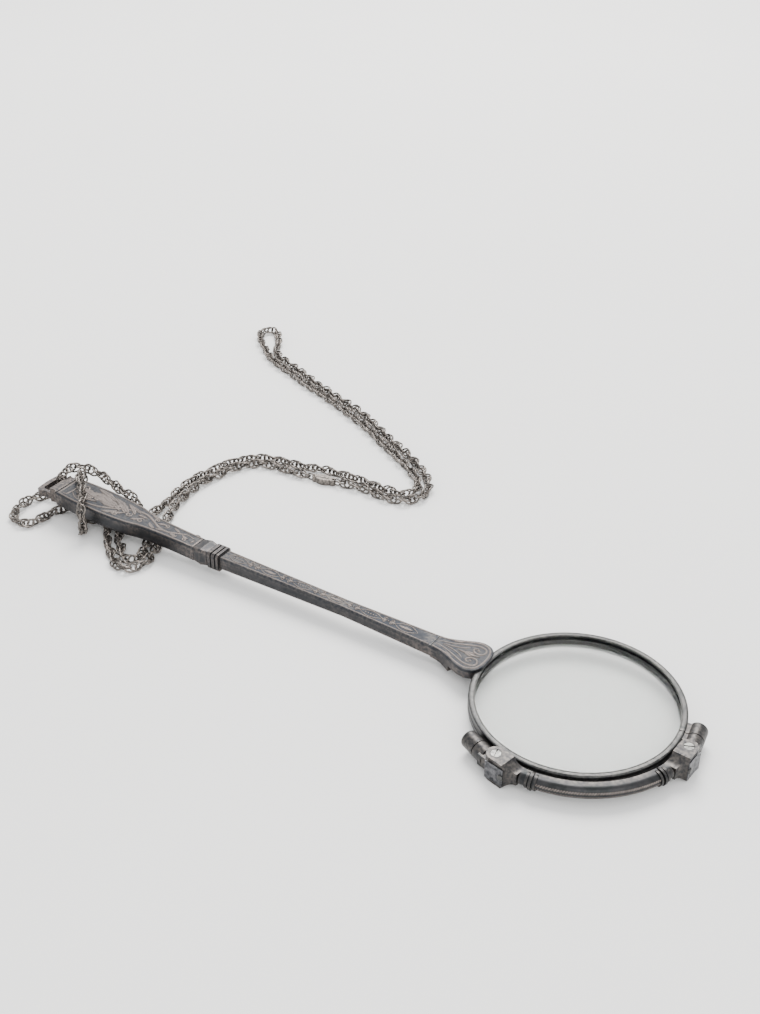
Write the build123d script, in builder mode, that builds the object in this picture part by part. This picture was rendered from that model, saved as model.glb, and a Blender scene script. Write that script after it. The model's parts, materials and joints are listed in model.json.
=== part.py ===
from build123d import *
import os
from math import atan, cos, pi, radians, sin, tan

# Folding lorgnette. Millimetres, +Z up. It lies closed on a table, with its handle along X.
# Distances along and across the handle are measured from the axis of the closed lens rings.

# ---- driving dimensions ---------------------------------------------------------------------
LENS_X = 53.238          # lens axis, from the middle of the object
LENS_Y = 2.197
SEAM_Z = 2.6             # seam between the two stacked rings, and mid-height of the hinges
HINGE_H = 2 * SEAM_Z     # height of the hinge blocks, which the object lies on
SEAM_GAP = 0.1
RING_R = 19.5            # outer radius of a lens ring
RING_INNER_R = 18.36
RING_H = 1.35
RING_ROUND = 0.22        # rounding of the outer corners
GROOVE_R = 18.85         # groove that holds the lens
GROOVE_H = 0.64
LENS_R = 18.78
LENS_EDGE = 0.6
LENS_MIDDLE = 1.2
SOLDER_GAP = 0.02        # gap left at a curved soldered joint

PIVOT_R = 21.7           # distance of both hinge pivots from the lens axis
BRIDGE_ANGLE = -54.0     # direction of the middle of the bridge
PIVOT_SPREAD = 49.5      # each pivot, either side of that direction
PIVOT_SCREW_R = 0.5
PIVOT_BORE_R = 0.55
EAR_R = 1.65
EAR_BACK = 3.3           # how far an ear runs back from its pivot towards the bridge bar
TONGUE_R = 1.5
TONGUE_H = 2.4
FORK_GAP = 2.5

BARREL_R = 1.7           # screw barrel that clamps each ring shut
BARREL_AXIS_R = 21.35
BARREL_TURN = 12.0       # angle from the pivot to the middle of the barrel
BARREL_SPLIT = 0.2
KNUCKLE_START = 2.25     # the knuckle's end face, from the pivot
CAP_LENGTH = 3.3
CLOSING_SCREW_R = 0.5
CLOSING_HEAD_R = 0.95

BAR_IN_R = 20.4          # bridge bar: inner face, middle of its half-round and half-height
BAR_MID_R = 21.3
BAR_HALF_H = 1.25
BAR_SPREAD = 36.0
COLLAR_SPREAD = 30.5

FACE_Z = 4.6             # top of the palmette and of the shaft's lens end
PLATE_Z = 4.0            # underside of the palmette, on the upper ring
SKIN = 0.5               # sheet thickness of the shaft and the grip
FACE_BEVEL = 0.2
BACK_BEVEL = 0.35
SHAFT_END = -29.6
SHOULDER_X = -83.6
GRIP_X = -87.0
GRIP_TOP = 5.45          # top of the grip's face at its shoulder end
GRIP_SLOPE = 0.0447      # rise of the grip towards its end
GRIP_H = 3.4
GRIP_END = -37.5         # end of the grip, from the shoulder
BAIL_END = -43.4

ROD_HALF = 0.6           # release rod: half-width, underside and top
ROD_LOW = 3.05
ROD_TOP = 3.95
ROD_X = (-94.0, -24.6)
BUTTON_X = -90.4
RELEASE_TRAVEL = 1.5

# Shaft stations: distance along the handle, width, height, top.
SHAFT = [(-83.6, 3.45, 3.0, 5.3), (-80.3, 3.45, 3.0, 5.3), (-50.0, 2.85, 2.5, 4.93), (SHAFT_END, 3.9, 2.7, FACE_Z)]
# Half outline of the palmette, from the shaft to its tip inside the ring.
PALMETTE = [(SHAFT_END, 1.95), (-26.3, 2.6), (-23.8, 3.7), (-21.4, 4.4), (-19.3, 3.7), (-18.35, 1.8), (-18.25, 0)]
# Underside of the neck bracket, from the shaft to the rings.
BRACKET_UNDER = [(SHAFT_END, 2.0), (-27.0, 1.8), (-24.5, 1.2), (-21.5, 0.4), (-17.0, 0.4)]
# Half widths of the grip, from its shoulder end: a slim neck that swells like a spoon handle.
GRIP_HALF = [(0, 2.1), (-5, 2.15), (-10.9, 2.35), (-14.5, 2.7), (-17.5, 3.35), (-20.3, 3.7),
             (-24, 3.95), (-27.8, 4.05), (-33, 3.95), (GRIP_END, 3.6)]

LENS_AXIS = Axis((LENS_X, LENS_Y, 0), (0, 0, 1))
UPPER_Z = SEAM_Z + SEAM_GAP / 2
LOWER_Z = SEAM_Z - SEAM_GAP / 2 - RING_H
RIGHT = 1                # the hinge at the tip, on the upper ring
LEFT = -1                # the hinge nearer the handle, on the lower ring


# ---- places ---------------------------------------------------------------------------------
def level(z):
    """Horizontal plane at height z, with its origin on the lens axis."""
    return Plane(origin=(LENS_X, LENS_Y, z))


def station(x):
    """Plane across the handle: local x is across, local y is up."""
    return Plane(origin=(LENS_X + x, LENS_Y, 0), x_dir=(0, 1, 0), z_dir=(1, 0, 0))


def side_plane(y=0.0):
    """Upright plane along the handle: local x is along, local y is up, and it faces the near side."""
    return Plane(origin=(LENS_X, LENS_Y + y, 0), x_dir=(1, 0, 0), z_dir=(0, -1, 0))


def radial_plane(angle):
    """Upright plane through the lens axis: local x is outward, local y is up."""
    a = radians(angle)
    return Plane(origin=(LENS_X, LENS_Y, 0), x_dir=(cos(a), sin(a), 0), z_dir=(sin(a), -cos(a), 0))


def pivot_angle(side):
    return BRIDGE_ANGLE + side * PIVOT_SPREAD


def hinge_plane(side, z):
    """Horizontal plane on a pivot: local x is outward, and local y times side points to the barrel."""
    a = radians(pivot_angle(side))
    origin = (LENS_X + PIVOT_R * cos(a), LENS_Y + PIVOT_R * sin(a), z)
    return Plane(origin=origin, x_dir=(cos(a), sin(a), 0), z_dir=(0, 0, 1))


def outward_plane(side, x, y, z):
    """Upright plane that faces outward, x out from a pivot and y behind it, at height z."""
    base = hinge_plane(side, z)
    origin = base.from_local_coords((x, -side * y, 0))
    return Plane(origin=origin, x_dir=(0, 0, 1), z_dir=base.x_dir)


def barrel_plane(side, s):
    """Plane across a barrel at distance s from its split, facing away from the pivot."""
    a = radians(pivot_angle(side) + side * BARREL_TURN)
    along = (-side * sin(a), side * cos(a), 0)
    x = LENS_X + BARREL_AXIS_R * cos(a) + s * along[0]
    y = LENS_Y + BARREL_AXIS_R * sin(a) + s * along[1]
    return Plane(origin=(x, y, SEAM_Z), x_dir=(cos(a), sin(a), 0), z_dir=along)


def grip_plane(depth):
    """Plane parallel to the grip's face and depth below it, with its origin at the shoulder end."""
    slope = atan(GRIP_SLOPE)
    origin = (LENS_X + GRIP_X, LENS_Y, GRIP_TOP)
    face = Plane(origin=origin, x_dir=(cos(slope), 0, -sin(slope)), z_dir=(sin(slope), 0, cos(slope)))
    return face.offset(-depth)


def finish(builder, name):
    builder.part.label = name
    export_step(builder.part, f"parts/{name}.step")


os.makedirs("parts", exist_ok=True)


# ---- lens rings, lenses and their clamping barrels --------------------------------------------
def make_ring(name, z, side):
    """One lens ring, slit at its barrel so that the screw can clamp it round the lens."""
    middle = z + RING_H / 2
    with BuildPart() as ring:
        with BuildSketch(radial_plane(0)) as section:
            with Locations(((RING_INNER_R + RING_R) / 2, middle)):
                Rectangle(RING_R - RING_INNER_R, RING_H)
            fillet(section.vertices().group_by(Axis.X)[-1], radius=RING_ROUND)
            with Locations(((RING_INNER_R + GROOVE_R) / 2, middle)):
                Rectangle(GROOVE_R - RING_INNER_R, GROOVE_H, mode=Mode.SUBTRACT)
        revolve(axis=LENS_AXIS)
        with BuildSketch(barrel_plane(side, -BARREL_SPLIT / 2)):
            with Locations((RING_R - BARREL_AXIS_R, 0)):
                Rectangle(3, HINGE_H)
        extrude(amount=BARREL_SPLIT, mode=Mode.SUBTRACT)
    finish(ring, name)


def make_lens(name, z):
    """A thin biconvex lens, thinner at its edge, where it sits in the ring's groove."""
    middle = z + RING_H / 2
    halfway = middle + LENS_MIDDLE / 2 - (LENS_MIDDLE - LENS_EDGE) / 8
    with BuildPart() as lens:
        with BuildSketch(radial_plane(0)):
            with BuildLine():
                Line((0, middle), (0, middle + LENS_MIDDLE / 2))
                ThreePointArc(
                    (0, middle + LENS_MIDDLE / 2), (LENS_R / 2, halfway), (LENS_R, middle + LENS_EDGE / 2))
                Line((LENS_R, middle + LENS_EDGE / 2), (LENS_R, middle))
                mirror(about=Plane.XZ.offset(-middle))
            make_face()
        revolve(axis=LENS_AXIS)
    finish(lens, name)


def ring_outline():
    """The outside of the rings in plan, with a hair to spare for a soldered piece."""
    with BuildSketch(level(0)) as outline:
        Circle(RING_R + SOLDER_GAP)
    return outline.sketch


def foot_section(side, z, s):
    """Section of the web that joins a barrel segment to the flat of its own ring's wall."""
    with BuildSketch(barrel_plane(side, s)) as section:
        with Locations(((RING_R - BARREL_AXIS_R) / 2, side * (SEAM_Z - z - RING_H / 2))):
            Rectangle(BARREL_AXIS_R - RING_R + 1.2, RING_H - 2 * RING_ROUND)
    return section.sketch


def make_knuckle(name, side, z):
    """The barrel half beside the hinge, with the tongue that turns in the bridge's fork."""
    start = -3.2
    with BuildPart() as knuckle:
        with BuildSketch(barrel_plane(side, start)):
            Circle(BARREL_R)
        extrude(amount=-start - BARREL_SPLIT / 2)
        extrude(foot_section(side, z, start), amount=-start - BARREL_SPLIT / 2)
        with BuildSketch(hinge_plane(side, 0)):
            with Locations((0, side * (KNUCKLE_START - 2.5))):
                Rectangle(8, 5)
        extrude(amount=HINGE_H, mode=Mode.SUBTRACT)
        with BuildSketch(hinge_plane(side, SEAM_Z - TONGUE_H / 2)):
            Circle(TONGUE_R)
            with Locations((0, side * 1.5)):
                Rectangle(2.5, 3)
        extrude(amount=TONGUE_H)
        with BuildSketch(hinge_plane(side, 0)):
            Circle(PIVOT_BORE_R)
        extrude(amount=HINGE_H, mode=Mode.SUBTRACT)
        with BuildSketch(barrel_plane(side, 0)):
            Circle(CLOSING_SCREW_R + SOLDER_GAP)
        extrude(amount=-1.9, mode=Mode.SUBTRACT)
        extrude(ring_outline(), amount=HINGE_H, mode=Mode.SUBTRACT)
    finish(knuckle, name)


def make_barrel_cap(name, side, z):
    """The far barrel half, domed, with a recess for the closing screw's head."""
    with BuildPart() as cap:
        with BuildSketch(barrel_plane(side, BARREL_SPLIT / 2)):
            Circle(BARREL_R)
        extrude(amount=CAP_LENGTH)
        along = Axis(barrel_plane(side, 0).origin, barrel_plane(side, 0).z_dir)
        fillet(cap.edges().sort_by(along)[-1], radius=0.55)
        extrude(foot_section(side, z, BARREL_SPLIT / 2), amount=CAP_LENGTH - 0.6)
        with BuildSketch(barrel_plane(side, 0)):
            Circle(CLOSING_SCREW_R + 0.05)
        extrude(amount=CAP_LENGTH + 1, mode=Mode.SUBTRACT)
        with BuildSketch(barrel_plane(side, CAP_LENGTH - 0.6)):
            Circle(CLOSING_HEAD_R + 0.05)
        extrude(amount=2, mode=Mode.SUBTRACT)
        extrude(ring_outline(), amount=HINGE_H, mode=Mode.SUBTRACT)
    finish(cap, name)


def make_closing_screw(name, side):
    """Slotted screw along the barrel."""
    head_s = CAP_LENGTH - 0.6
    with BuildPart() as screw:
        with BuildSketch(barrel_plane(side, -1.8)):
            Circle(CLOSING_SCREW_R)
        extrude(amount=head_s + 1.8)
        with BuildSketch(barrel_plane(side, head_s)):
            Circle(CLOSING_HEAD_R)
        extrude(amount=0.5)
        with BuildSketch(barrel_plane(side, head_s + 0.3)):
            Rectangle(2 * CLOSING_HEAD_R + 0.2, 0.22)
        extrude(amount=0.4, mode=Mode.SUBTRACT)
    finish(screw, name)


for prefix, ring_z, hinge_side in (("upper", UPPER_Z, RIGHT), ("lower", LOWER_Z, LEFT)):
    make_ring(f"{prefix}_ring", ring_z, hinge_side)
    make_lens(f"{prefix}_lens", ring_z)
    make_knuckle(f"{prefix}_knuckle", hinge_side, ring_z)
    make_barrel_cap(f"{prefix}_barrel_cap", hinge_side, ring_z)
    make_closing_screw(f"{prefix}_closing_screw", hinge_side)


# ---- bridge ---------------------------------------------------------------------------------
SCREW_HEAD_Z = HINGE_H - 0.45
RIVET_Y = 2.75           # leaf rivet, behind the pivot
RIVET_R = 0.35
NECK_END = 5.0           # where the neck runs out into the bar, behind the pivot
NECK_WAIST = (0.62, 3.95)    # hollow of the neck's outer side, out from and behind the pivot
SCALLOP_R = 2.6
RIDGE_AXIS_R = 21.4      # middle of the turned ridges, from the lens axis
RIDGE_ROW = [(-0.75, 1.42), (0.0, 1.6), (0.75, 1.42)]    # place along the bar and radius of each ridge


def neck_outline(side):
    """Plan of the neck between an ear and the bar, hollowed on its outer side."""
    inner_x = hypot_leg(BAR_IN_R, NECK_END) - PIVOT_R
    outer_x = hypot_leg(BAR_MID_R + BAR_HALF_H, NECK_END) - PIVOT_R
    near = -side * EAR_BACK
    far = -side * NECK_END
    with BuildSketch(hinge_plane(side, 0)) as outline:
        with BuildLine():
            Polyline((EAR_R, near), (-EAR_R, near), (inner_x, far), (outer_x, far))
            ThreePointArc((outer_x, far), (NECK_WAIST[0], -side * NECK_WAIST[1]), (EAR_R, near))
        make_face()
    return outline.sketch


def hypot_leg(hypotenuse, leg):
    return (hypotenuse ** 2 - leg ** 2) ** 0.5


with BuildPart() as bridge:
    with BuildSketch(radial_plane(BRIDGE_ANGLE - BAR_SPREAD)):
        with BuildLine():
            Line((BAR_MID_R, SEAM_Z - BAR_HALF_H), (BAR_IN_R, SEAM_Z - BAR_HALF_H))
            Line((BAR_IN_R, SEAM_Z - BAR_HALF_H), (BAR_IN_R, SEAM_Z + BAR_HALF_H))
            Line((BAR_IN_R, SEAM_Z + BAR_HALF_H), (BAR_MID_R, SEAM_Z + BAR_HALF_H))
            ThreePointArc(
                (BAR_MID_R, SEAM_Z + BAR_HALF_H), (BAR_MID_R + BAR_HALF_H, SEAM_Z),
                (BAR_MID_R, SEAM_Z - BAR_HALF_H))
        make_face()
    revolve(axis=LENS_AXIS, revolution_arc=2 * BAR_SPREAD)
    for side in (LEFT, RIGHT):
        # Ear block and neck, scalloped above and below where they run out into the bar.
        with BuildSketch(hinge_plane(side, 0)):
            Circle(EAR_R)
            with Locations((0, -side * EAR_BACK / 2)):
                Rectangle(2 * EAR_R, EAR_BACK)
        extrude(amount=HINGE_H)
        extrude(neck_outline(side), amount=HINGE_H)
        for scallop_z in (SEAM_Z + BAR_HALF_H + SCALLOP_R, SEAM_Z - BAR_HALF_H - SCALLOP_R):
            with BuildSketch(outward_plane(side, 0, NECK_END, scallop_z)):
                Circle(SCALLOP_R)
            extrude(amount=2.6, both=True, mode=Mode.SUBTRACT)
        # Turned ridges either side of the middle of the bar.
        ridge_angle = radians(BRIDGE_ANGLE + side * COLLAR_SPREAD)
        ridge_origin = (
            LENS_X + RIDGE_AXIS_R * cos(ridge_angle), LENS_Y + RIDGE_AXIS_R * sin(ridge_angle), SEAM_Z)
        ridge_plane = Plane(
            origin=ridge_origin, x_dir=(0, 0, 1), z_dir=(-sin(ridge_angle), cos(ridge_angle), 0))
        for shift, ridge_r in RIDGE_ROW:
            with BuildSketch(ridge_plane.offset(shift)):
                Circle(ridge_r)
            extrude(amount=0.22, both=True)
        # Fork, pivot bores, head recess and rivet hole.
        with BuildSketch(hinge_plane(side, SEAM_Z - FORK_GAP / 2)):
            Rectangle(5, 4.4)
        extrude(amount=FORK_GAP, mode=Mode.SUBTRACT)
        with BuildSketch(hinge_plane(side, 0)):
            Circle(PIVOT_SCREW_R + 0.02)
        extrude(amount=HINGE_H, mode=Mode.SUBTRACT)
        with BuildSketch(hinge_plane(side, SCREW_HEAD_Z)):
            Circle(0.95)
        extrude(amount=HINGE_H, mode=Mode.SUBTRACT)
        with BuildSketch(outward_plane(side, 0.9, RIVET_Y, SEAM_Z)):
            Circle(RIVET_R + 0.01)
        extrude(amount=2, mode=Mode.SUBTRACT)
finish(bridge, "bridge")


LEAF_WIDTH = 3.7
LEAF_BACK = 1.83         # outer face of the leaf on its ear, from the pivot
# Plan of a leaf spring on its ear: flat behind the pivot, then springing outward past it.
LEAF_PLAN = [(EAR_R, -3.2), (LEAF_BACK, -3.2), (LEAF_BACK, -1.2), (2.33, 0.6), (2.17, 0.66), (EAR_R, -1.12)]

for side, name in ((LEFT, "left"), (RIGHT, "right")):
    with BuildPart() as pivot_screw:
        with BuildSketch(hinge_plane(side, 0.2)):
            Circle(PIVOT_SCREW_R)
        extrude(amount=SCREW_HEAD_Z - 0.2)
        with BuildSketch(hinge_plane(side, SCREW_HEAD_Z)):
            Circle(0.9)
        extrude(amount=0.4)
        with BuildSketch(hinge_plane(side, SCREW_HEAD_Z + 0.2)):
            Rectangle(2, 0.24, rotation=25)
        extrude(amount=0.4, mode=Mode.SUBTRACT)
    finish(pivot_screw, f"{name}_pivot_screw")

    # Flat spring that rides on the knuckle and snaps the bridge open or shut.
    with BuildPart() as leaf_spring:
        with BuildSketch(hinge_plane(side, SEAM_Z - LEAF_WIDTH / 2)):
            with BuildLine():
                Polyline(*[(x, side * y) for x, y in LEAF_PLAN], close=True)
            make_face()
        extrude(amount=LEAF_WIDTH)
        with BuildSketch(outward_plane(side, 0, RIVET_Y, SEAM_Z)):
            Circle(RIVET_R + 0.01)
        extrude(amount=4, mode=Mode.SUBTRACT)
    finish(leaf_spring, f"{name}_leaf_spring")

    with BuildPart() as leaf_rivet:
        with BuildSketch(outward_plane(side, 1.0, RIVET_Y, SEAM_Z)):
            Circle(RIVET_R)
        extrude(amount=0.83)
        with BuildSketch(outward_plane(side, LEAF_BACK, RIVET_Y, SEAM_Z)):
            Circle(0.6)
        extrude(amount=0.28)
        outward = Axis(hinge_plane(side, 0).origin, hinge_plane(side, 0).x_dir)
        fillet(leaf_rivet.edges().sort_by(outward)[-1], radius=0.2)
    finish(leaf_rivet, f"{name}_leaf_rivet")


# ---- handle: palmette, neck bracket and shaft -------------------------------------------------
NOTCH = [(-25.6, -4.6), (-22.3, 4.6), (-10.0, 4.6), (-10.0, -4.6)]
ROD_SLOT = ROD_HALF + 0.1


def palmette_outline(z):
    with BuildSketch(level(z)) as outline:
        with BuildLine():
            Spline(*PALMETTE)
            Line(PALMETTE[0], (SHAFT_END, 0))
            mirror(about=Plane.XZ)
        make_face()
    return outline.sketch


with BuildPart() as palmette_plate:
    extrude(palmette_outline(PLATE_Z), amount=FACE_Z - PLATE_Z)
    chamfer(palmette_plate.faces().sort_by(Axis.Z)[-1].edges(), length=0.12)
finish(palmette_plate, "palmette_plate")

with BuildPart() as neck_bracket:
    extrude(palmette_outline(0), amount=PLATE_Z)
    with BuildSketch(side_plane()):
        with BuildLine():
            Polyline(*BRACKET_UNDER, (-17.0, PLATE_Z), (SHAFT_END, PLATE_Z), close=True)
        make_face()
    extrude(amount=8, both=True, mode=Mode.INTERSECT)
    extrude(ring_outline(), amount=HINGE_H, mode=Mode.SUBTRACT)
    # Open notch that lets the lower ring swing out.
    with BuildSketch(level(0)):
        Polygon(*NOTCH, align=None)
    extrude(amount=SEAM_Z + 0.02, mode=Mode.SUBTRACT)
    # Groove for the release rod and pocket for the catch nose.
    with BuildSketch(side_plane()):
        with BuildLine():
            Polyline((-31, PLATE_Z + 1), (-31, ROD_LOW - 0.05), (-28.6, ROD_LOW - 0.05), (-28.6, 1.85),
                     (-23, 1.85), (-23, ROD_LOW - 0.05), (-24.2, ROD_LOW - 0.05), (-24.2, PLATE_Z + 1), close=True)
        make_face()
    extrude(amount=ROD_SLOT, both=True, mode=Mode.SUBTRACT)
finish(neck_bracket, "neck_bracket")


def back_section(x, width, height, top):
    """Outside of the shaft's back at one station: bevelled below, flat where the face sits."""
    half = width / 2
    bottom = top - height
    with BuildSketch(station(x)) as section:
        Polygon((half, top - SKIN), (-half, top - SKIN), (-half, bottom + BACK_BEVEL),
                (-half + BACK_BEVEL, bottom), (half - BACK_BEVEL, bottom), (half, bottom + BACK_BEVEL),
                align=None)
    return section.sketch


def hollow_section(x, width, height, top):
    half = width / 2 - SKIN
    bottom = top - height + SKIN
    with BuildSketch(station(x)) as section:
        Polygon((half, top), (-half, top), (-half, bottom), (half, bottom), align=None)
    return section.sketch


def face_section(x, width, height, top):
    """The shaft's engraved face strip, with bevelled edges."""
    half = width / 2
    with BuildSketch(station(x)) as section:
        Polygon((half, top - SKIN), (half, top - FACE_BEVEL), (half - FACE_BEVEL, top),
                (-half + FACE_BEVEL, top), (-half, top - FACE_BEVEL), (-half, top - SKIN), align=None)
    return section.sketch


with BuildPart() as shaft_back:
    loft([back_section(*row) for row in SHAFT], ruled=True)
    loft([hollow_section(*row) for row in SHAFT], ruled=True, mode=Mode.SUBTRACT)
finish(shaft_back, "shaft_back")

with BuildPart() as shaft_face:
    loft([face_section(*row) for row in SHAFT], ruled=True)
finish(shaft_face, "shaft_face")


# ---- handle: collar ---------------------------------------------------------------------------
COLLAR_X, COLLAR_WIDTH, COLLAR_HEIGHT, COLLAR_TOP = SHAFT[0]
COLLAR_END = SHAFT[1][0]
COLLAR_Z = COLLAR_TOP - COLLAR_HEIGHT / 2
RIDGES = [(0.35, 0.75), (1.45, 0.75), (2.55, 0.6)]     # start and length of each ridge

with BuildPart() as collar_ferrule:
    with BuildSketch(station(COLLAR_X)):
        with Locations((0, COLLAR_Z)):
            RectangleRounded(COLLAR_WIDTH + 0.5, COLLAR_HEIGHT + 0.5, 0.5)
    extrude(amount=COLLAR_END - COLLAR_X)
    for start, length in RIDGES:
        with BuildSketch(station(COLLAR_X + start)):
            with Locations((0, COLLAR_Z)):
                RectangleRounded(COLLAR_WIDTH + 1.0, COLLAR_HEIGHT + 1.0, 0.7)
        extrude(amount=length)
    with BuildSketch(station(COLLAR_X)):
        with Locations((0, COLLAR_Z)):
            Rectangle(COLLAR_WIDTH, COLLAR_HEIGHT)
    extrude(amount=COLLAR_END - COLLAR_X, mode=Mode.SUBTRACT)
finish(collar_ferrule, "collar_ferrule")


def shoulder_section(x, width, height):
    with BuildSketch(station(x)) as section:
        with Locations((0, COLLAR_Z)):
            RectangleRounded(width, height, 0.6)
    return section.sketch


BUSH_LOW = 2.6
BUSH_TOP = 5.0
BUSH_HALF = 1.4
with BuildPart() as collar_shoulder:
    loft([shoulder_section(-85.2, 4.7, 3.9), shoulder_section(SHOULDER_X, 4.1, 3.5)], ruled=True)
    loft([shoulder_section(GRIP_X, 4.2, 3.4), shoulder_section(-85.2, 4.7, 3.9)], ruled=True)
    with BuildSketch(station(GRIP_X)):
        with Locations((0, (BUSH_LOW + BUSH_TOP) / 2)):
            Rectangle(2 * BUSH_HALF, BUSH_TOP - BUSH_LOW)
    extrude(amount=SHOULDER_X - GRIP_X, mode=Mode.SUBTRACT)
finish(collar_shoulder, "collar_shoulder")

with BuildPart() as rod_guide:
    with BuildSketch(station(-86.5)):
        with Locations((0, (BUSH_LOW + BUSH_TOP) / 2)):
            Rectangle(2 * BUSH_HALF, BUSH_TOP - BUSH_LOW)
        with Locations((0, (ROD_LOW + ROD_TOP) / 2)):
            Rectangle(2 * ROD_HALF + 0.1, ROD_TOP - ROD_LOW + 0.1, mode=Mode.SUBTRACT)
    extrude(amount=2.4)
finish(rod_guide, "rod_guide")


# ---- handle: grip, end bail and spring seat -----------------------------------------------------
def grip_outline(depth, inset=0.0):
    """Plan of the grip on a plane parallel to its face, depth below it."""
    half = [(x, y - inset) for x, y in GRIP_HALF]
    half[0] = (-inset, half[0][1])
    half[-1] = (GRIP_END + inset, half[-1][1])
    with BuildSketch(grip_plane(depth)) as outline:
        with BuildLine():
            Spline(*half)
            Line(half[-1], (half[-1][0], 0))
            Line((half[0][0], 0), half[0])
            mirror(about=Plane.XZ)
        make_face()
    return outline.sketch


def widest_face(builder, lowest):
    """The upper or lower of a thin piece's two broad faces."""
    broad = builder.faces().sort_by(SortBy.AREA)[-2:].sort_by(Axis.Z)
    return broad[0] if lowest else broad[-1]


BUTTON_Z = (ROD_LOW + ROD_TOP) / 2
SLOT_HALF = 0.45
with BuildPart() as grip_back:
    extrude(grip_outline(GRIP_H), amount=GRIP_H - SKIN)
    fillet(widest_face(grip_back, lowest=True).edges(), radius=0.45)
    extrude(grip_outline(GRIP_H - SKIN, SKIN), amount=GRIP_H, mode=Mode.SUBTRACT)
    # Way in for the release rod, and the slot that its button slides in.
    with BuildSketch(station(GRIP_X - 1)):
        with Locations((0, BUTTON_Z)):
            Rectangle(2 * ROD_SLOT, ROD_TOP - ROD_LOW + 0.2)
    extrude(amount=2, mode=Mode.SUBTRACT)
    with BuildSketch(side_plane(1.0)):
        with Locations((BUTTON_X - RELEASE_TRAVEL / 2, BUTTON_Z)):
            Rectangle(RELEASE_TRAVEL + 2 * SLOT_HALF, 2 * SLOT_HALF)
    extrude(amount=-3, mode=Mode.SUBTRACT)
finish(grip_back, "grip_back")

with BuildPart() as grip_face:
    extrude(grip_outline(SKIN), amount=SKIN)
    chamfer(widest_face(grip_face, lowest=False).edges(), length=0.2)
finish(grip_face, "grip_face")

SEAT_X = -99.0
with BuildPart() as spring_seat:
    with BuildSketch(station(SEAT_X)):
        Polygon((1.85, 3.25), (1.85, 5.4), (-1.85, 5.4), (-1.85, 3.25), align=None)
    extrude(amount=-1)
finish(spring_seat, "spring_seat")

# The end bail narrows in a hollow step to a thin bar with rounded lugs, which holds the neck chain.
BAIL_BAR_LOW = 2.75      # underside of the thin bar, below the grip's face
BAIL_BAR_TOP = 1.15
SLOT_NEAR = -42.3
SLOT_FAR = -39.7
SLOT_HALF_WIDTH = 2.6
with BuildPart() as end_bail:
    with BuildSketch(grip_plane(GRIP_H)):
        with BuildLine():
            Line((GRIP_END, 0), (GRIP_END, 3.6))
            ThreePointArc((GRIP_END, 3.6), (-38.1, 3.05), (-38.9, 3.0))
            ThreePointArc((-38.9, 3.0), (-40.0, 3.25), (-41.3, 3.3))
            ThreePointArc((-41.3, 3.3), (-42.1, 3.75), (-43.1, 3.45))
            ThreePointArc((-43.1, 3.45), (-43.3, 1.75), (BAIL_END, 0))
            mirror(about=Plane.XZ)
        make_face()
    extrude(amount=GRIP_H)
    # The bar and lugs are thinner than the grip, hollowed off above and below.
    for low, high in ((-1, BAIL_BAR_TOP), (BAIL_BAR_LOW, GRIP_H + 1)):
        with BuildSketch(grip_plane(high)):
            with Locations(((BAIL_END - 39.6) / 2 - 0.5, 0)):
                Rectangle(-BAIL_END - 39.6 + 1, 9)
        extrude(amount=high - low, mode=Mode.SUBTRACT)
    with BuildSketch(grip_plane(GRIP_H)):
        with Locations(((SLOT_NEAR + SLOT_FAR) / 2, 0)):
            RectangleRounded(SLOT_FAR - SLOT_NEAR, 2 * SLOT_HALF_WIDTH, 0.6)
    extrude(amount=GRIP_H, mode=Mode.SUBTRACT)
finish(end_bail, "end_bail")


# ---- release rod, nose, button and spring -------------------------------------------------------
ROD_MIDDLE = (ROD_LOW + ROD_TOP) / 2

with BuildPart() as release_rod:
    with BuildSketch(station(ROD_X[0])):
        with Locations((0, ROD_MIDDLE)):
            Rectangle(2 * ROD_HALF, ROD_TOP - ROD_LOW)
    extrude(amount=ROD_X[1] - ROD_X[0])
finish(release_rod, "release_rod")

# Bevelled hook that stands beside the lower ring's rim in the notch.
with BuildPart() as catch_nose:
    with BuildSketch(side_plane()):
        with BuildLine():
            Polyline((-26.6, ROD_LOW), (-26.6, 1.9), (-25.1, 1.9), (ROD_X[1], 2.4), (ROD_X[1], ROD_LOW), close=True)
        make_face()
    extrude(amount=ROD_HALF, both=True)
finish(catch_nose, "catch_nose")

BEAD_R = 0.9
BEAD_Y = 3.2
with BuildPart() as release_button:
    with BuildSketch(side_plane(ROD_HALF)):
        with Locations((BUTTON_X, BUTTON_Z)):
            Circle(0.35)
    extrude(amount=-(BEAD_Y - ROD_HALF))
    with Locations((LENS_X + BUTTON_X, LENS_Y + BEAD_Y, BUTTON_Z)):
        Sphere(BEAD_R)
finish(release_button, "release_button")

COIL_R = 0.45
COIL_WIRE = 0.36         # the spring is coiled from square wire
COIL_Z = 3.85
COIL_TURNS = 5
COIL_LENGTH = ROD_X[0] - SEAT_X - COIL_WIRE - 0.06
with BuildPart() as return_spring:
    with BuildLine() as coil:
        Helix(pitch=COIL_LENGTH / COIL_TURNS, height=COIL_LENGTH, radius=COIL_R,
              center=(LENS_X + SEAT_X + COIL_WIRE / 2 + 0.03, LENS_Y, COIL_Z), direction=(1, 0, 0))
    with BuildSketch(coil.line ^ 0):
        Rectangle(COIL_WIRE, COIL_WIRE)
    sweep(path=coil.line, is_frenet=True)
finish(return_spring, "return_spring")


# ---- neck chain and clasp ---------------------------------------------------------------------
CHAIN_D = 1.9
LIE = 0.97               # height of the chain's middle where it lies on the table

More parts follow.
